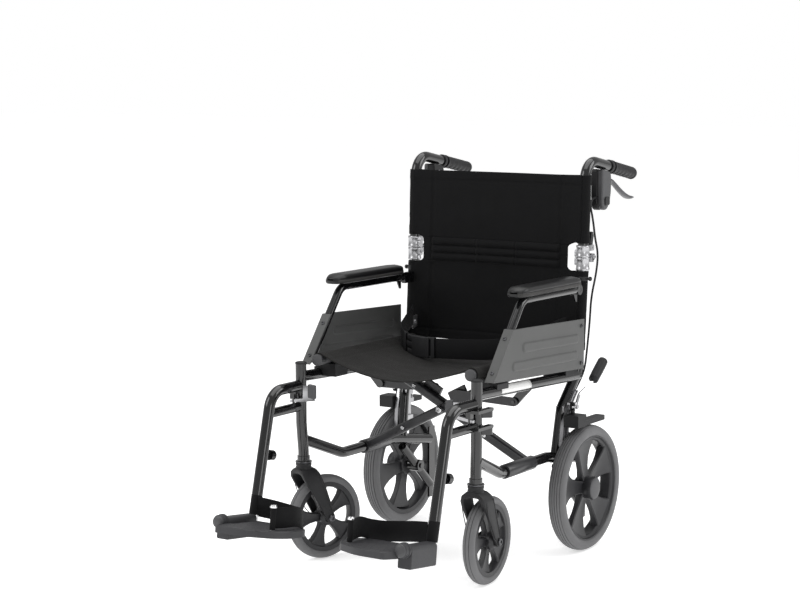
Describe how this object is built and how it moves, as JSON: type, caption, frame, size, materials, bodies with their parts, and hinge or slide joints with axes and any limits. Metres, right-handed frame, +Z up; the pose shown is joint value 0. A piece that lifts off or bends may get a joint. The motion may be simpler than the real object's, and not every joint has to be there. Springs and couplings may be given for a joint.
{
  "type": "manual wheelchair",
  "caption": "Folding attendant-propelled wheelchair with sling seat, flip-up armrests, swing-away footrests, folding back and parking brakes.",
  "frame": {"origin": "on the floor, below the middle of the chair's bounding box", "axes": "+X to the user's left, +Y to the rear, +Z up"},
  "size_m": [0.58, 1.0855, 0.9347],
  "materials": {
    "frame": "gloss black powder coat",
    "silver": "satin",
    "bright": "polished",
    "plastic": "fine grain",
    "panel": "fine grain",
    "wheel": "fine grain",
    "tyre": "grooved",
    "grip": "moulded",
    "pad": "soft moulded",
    "cloth": "woven nylon",
    "webbing": "webbing",
    "lever": "brushed"
  },
  "bodies": {
    "frame_right": {"side_frame_right": "frame", "seat_saddles_right": "plastic", "back_hinge_right": "silver", "park_bracket_right": "silver", "back_lower": "cloth", "brake_cable_right": "plastic"},
    "frame_left": {"side_frame_left": "frame", "seat_saddles_left": "plastic", "back_hinge_left": "silver", "park_bracket_left": "silver", "brake_cable_left": "plastic"},
    "brace_left": {"brace_left": "frame", "seat_sling": "cloth", "lap_belt": "webbing"},
    "brace_right": {"brace_right": "frame"},
    "fold_link_right": {"fold_link_right": "frame"},
    "upper_back_right": {"hinge_arm_right": "silver", "back_tube_right": "frame", "grip_right": "grip", "brake_clamp_right": "plastic", "back_upper": "cloth"},
    "back_lever_right": {"back_lever_right": "plastic"},
    "brake_lever_right": {"brake_lever_right": "plastic"},
    "arm_right": {"arm_frame_right": "frame", "arm_pad_right": "pad", "side_panel_right": "panel"},
    "hanger_right": {"hanger_right": "frame"},
    "swing_lever_right": {"swing_lever_right": "lever"},
    "foot_right": {"foot_tube_right": "bright", "heel_loop_right": "webbing"},
    "footplate_right": {"footplate_right": "plastic"},
    "caster_fork_right": {"caster_fork_right": "plastic"},
    "caster_wheel_right": {"caster_wheel_right": "wheel", "caster_tyre_right": "tyre"},
    "rear_wheel_right": {"rear_wheel_right": "wheel", "rear_tyre_right": "tyre"},
    "park_shoe_right": {"park_shoe_right": "bright"},
    "park_lever_right": {"park_lever_right": "lever"},
    "fold_link_left": {"fold_link_left": "frame"},
    "upper_back_left": {"hinge_arm_left": "silver", "back_tube_left": "frame", "grip_left": "grip", "brake_clamp_left": "plastic"},
    "back_lever_left": {"back_lever_left": "plastic"},
    "brake_lever_left": {"brake_lever_left": "plastic"},
    "arm_left": {"arm_frame_left": "frame", "arm_pad_left": "pad", "side_panel_left": "panel"},
    "hanger_left": {"hanger_left": "frame"},
    "swing_lever_left": {"swing_lever_left": "lever"},
    "foot_left": {"foot_tube_left": "bright", "heel_loop_left": "webbing"},
    "footplate_left": {"footplate_left": "plastic"},
    "caster_fork_left": {"caster_fork_left": "plastic"},
    "caster_wheel_left": {"caster_wheel_left": "wheel", "caster_tyre_left": "tyre"},
    "rear_wheel_left": {"rear_wheel_left": "wheel", "rear_tyre_left": "tyre"},
    "park_shoe_left": {"park_shoe_left": "bright"},
    "park_lever_left": {"park_lever_left": "lever"}
  },
  "joints": [
    {"name": "frame_fold", "type": "hinge", "parent": "frame_right", "child": "brace_left", "pos_m": [-0.218, 0.078, 0.238], "axis": [0, -1, 0], "range_deg": [0, 43], "deforming": ["back_lower", "back_upper"]},
    {"name": "cross_pivot", "type": "hinge", "parent": "brace_left", "child": "brace_right", "pos_m": [0, 0.054, 0.35], "axis": [0, -1, 0], "range_deg": [-86, 0], "deforming": ["seat_sling", "lap_belt"]},
    {"name": "left_rail_pivot", "type": "hinge", "parent": "brace_right", "child": "frame_left", "pos_m": [0.218, 0.019, 0.238], "axis": [0, -1, 0], "range_deg": [0, 43]},
    {"name": "fold_link_right", "type": "hinge", "parent": "frame_right", "child": "fold_link_right", "pos_m": [-0.202, 0.0486, 0.387], "axis": [0, -1, 0], "range_deg": [0, 65]},
    {"name": "fold_link_left", "type": "hinge", "parent": "frame_left", "child": "fold_link_left", "pos_m": [0.202, 0.06, 0.387], "axis": [0, 1, 0], "range_deg": [0, 65]},
    {"name": "back_fold_right", "type": "hinge", "parent": "frame_right", "child": "upper_back_right", "pos_m": [-0.237, 0.308, 0.7], "axis": [-1, 0, 0], "range_deg": [0, 110], "deforming": ["brake_cable_right"]},
    {"name": "back_release_right", "type": "hinge", "parent": "upper_back_right", "child": "back_lever_right", "pos_m": [-0.237, 0.316, 0.721], "axis": [-1, 0, 0], "range_deg": [0, 20], "stiffness_Nm_per_rad": 0.05, "springref_deg": -17.19},
    {"name": "attendant_brake_right", "type": "hinge", "parent": "upper_back_right", "child": "brake_lever_right", "pos_m": [-0.237, 0.384, 0.834], "axis": [1, 0, 0], "range_deg": [0, 14], "stiffness_Nm_per_rad": 0.6, "springref_deg": -17.19},
    {"name": "arm_flip_right", "type": "hinge", "parent": "frame_right", "child": "arm_right", "pos_m": [-0.2475, 0.238, 0.628], "axis": [-1, 0, 0], "range_deg": [0, 80]},
    {"name": "footrest_swing_right", "type": "hinge", "parent": "frame_right", "child": "hanger_right", "pos_m": [-0.257, -0.176, 0.39], "axis": [0, 0, -1], "range_deg": [0, 150]},
    {"name": "swing_release_right", "type": "hinge", "parent": "hanger_right", "child": "swing_lever_right", "pos_m": [-0.237, -0.2255, 0.382], "axis": [0, 0, -1], "range_deg": [0, 20], "stiffness_Nm_per_rad": 0.05, "springref_deg": -11.46},
    {"name": "footrest_length_right", "type": "slide", "parent": "hanger_right", "child": "foot_right", "axis": [0, -0.2465, -0.9691], "range_m": [0, 0.045]},
    {"name": "footplate_flip_right", "type": "hinge", "parent": "foot_right", "child": "footplate_right", "pos_m": [-0.24, -0.444, 0.148], "axis": [0, -0.9925, 0.1219], "range_deg": [0, 90], "deforming": ["heel_loop_right"]},
    {"name": "caster_swivel_right", "type": "hinge", "parent": "frame_right", "child": "caster_fork_right", "pos_m": [-0.234, -0.193, 0.26], "axis": [0, 0, 1], "continuous": true},
    {"name": "caster_spin_right", "type": "hinge", "parent": "caster_fork_right", "child": "caster_wheel_right", "pos_m": [-0.21544, -0.13911, 0.1], "axis": [0.9455, -0.3256, 0], "continuous": true},
    {"name": "rear_spin_right", "type": "hinge", "parent": "frame_right", "child": "rear_wheel_right", "pos_m": [-0.262, 0.264, 0.151], "axis": [1, 0, 0], "continuous": true},
    {"name": "park_lever_right", "type": "hinge", "parent": "frame_right", "child": "park_lever_right", "pos_m": [-0.254, 0.226, 0.352], "axis": [-1, 0, 0], "range_deg": [0, 18]},
    {"name": "park_shoe_right", "type": "hinge", "parent": "frame_right", "child": "park_shoe_right", "pos_m": [-0.247, 0.226, 0.352], "axis": [-1, 0, 0], "range_deg": [0, 1.9]},
    {"name": "back_fold_left", "type": "hinge", "parent": "frame_left", "child": "upper_back_left", "pos_m": [0.237, 0.308, 0.7], "axis": [-1, 0, 0], "range_deg": [0, 110], "deforming": ["brake_cable_left"]},
    {"name": "back_release_left", "type": "hinge", "parent": "upper_back_left", "child": "back_lever_left", "pos_m": [0.237, 0.316, 0.721], "axis": [-1, 0, 0], "range_deg": [0, 20], "stiffness_Nm_per_rad": 0.05, "springref_deg": -17.19},
    {"name": "attendant_brake_left", "type": "hinge", "parent": "upper_back_left", "child": "brake_lever_left", "pos_m": [0.237, 0.384, 0.834], "axis": [1, 0, 0], "range_deg": [0, 14], "stiffness_Nm_per_rad": 0.6, "springref_deg": -17.19},
    {"name": "arm_flip_left", "type": "hinge", "parent": "frame_left", "child": "arm_left", "pos_m": [0.2475, 0.238, 0.628], "axis": [-1, 0, 0], "range_deg": [0, 80]},
    {"name": "footrest_swing_left", "type": "hinge", "parent": "frame_left", "child": "hanger_left", "pos_m": [0.257, -0.176, 0.39], "axis": [0, 0, 1], "range_deg": [0, 150]},
    {"name": "swing_release_left", "type": "hinge", "parent": "hanger_left", "child": "swing_lever_left", "pos_m": [0.237, -0.2255, 0.382], "axis": [0, 0, 1], "range_deg": [0, 20], "stiffness_Nm_per_rad": 0.05, "springref_deg": -11.46},
    {"name": "footrest_length_left", "type": "slide", "parent": "hanger_left", "child": "foot_left", "axis": [0, -0.2465, -0.9691], "range_m": [0, 0.045]},
    {"name": "footplate_flip_left", "type": "hinge", "parent": "foot_left", "child": "footplate_left", "pos_m": [0.24, -0.444, 0.148], "axis": [0, 0.9925, -0.1219], "range_deg": [0, 90], "deforming": ["heel_loop_left"]},
    {"name": "caster_swivel_left", "type": "hinge", "parent": "frame_left", "child": "caster_fork_left", "pos_m": [0.234, -0.193, 0.26], "axis": [0, 0, 1], "continuous": true},
    {"name": "caster_spin_left", "type": "hinge", "parent": "caster_fork_left", "child": "caster_wheel_left", "pos_m": [0.22973, -0.13616, 0.1], "axis": [0.9972, 0.075, 0], "continuous": true},
    {"name": "rear_spin_left", "type": "hinge", "parent": "frame_left", "child": "rear_wheel_left", "pos_m": [0.262, 0.264, 0.151], "axis": [1, 0, 0], "continuous": true},
    {"name": "park_lever_left", "type": "hinge", "parent": "frame_left", "child": "park_lever_left", "pos_m": [0.254, 0.226, 0.352], "axis": [-1, 0, 0], "range_deg": [0, 18]},
    {"name": "park_shoe_left", "type": "hinge", "parent": "frame_left", "child": "park_shoe_left", "pos_m": [0.247, 0.226, 0.352], "axis": [-1, 0, 0], "range_deg": [0, 1.9]}
  ],
  "couplings": [
    {"joint": "cross_pivot", "follows": "frame_fold", "ratio": -2},
    {"joint": "left_rail_pivot", "follows": "frame_fold", "ratio": 1},
    {"joint": "fold_link_right", "follows": "frame_fold", "ratio": 1.5115},
    {"joint": "fold_link_left", "follows": "frame_fold", "ratio": 1.5115},
    {"joint": "footplate_flip_right", "follows": "frame_fold", "ratio": 2.093},
    {"joint": "park_shoe_right", "follows": "park_lever_right", "ratio": 0.1},
    {"joint": "footplate_flip_left", "follows": "frame_fold", "ratio": 2.093},
    {"joint": "park_shoe_left", "follows": "park_lever_left", "ratio": 0.1},
    {"joint": "back_fold_left", "follows": "back_fold_right", "ratio": 1}
  ]
}
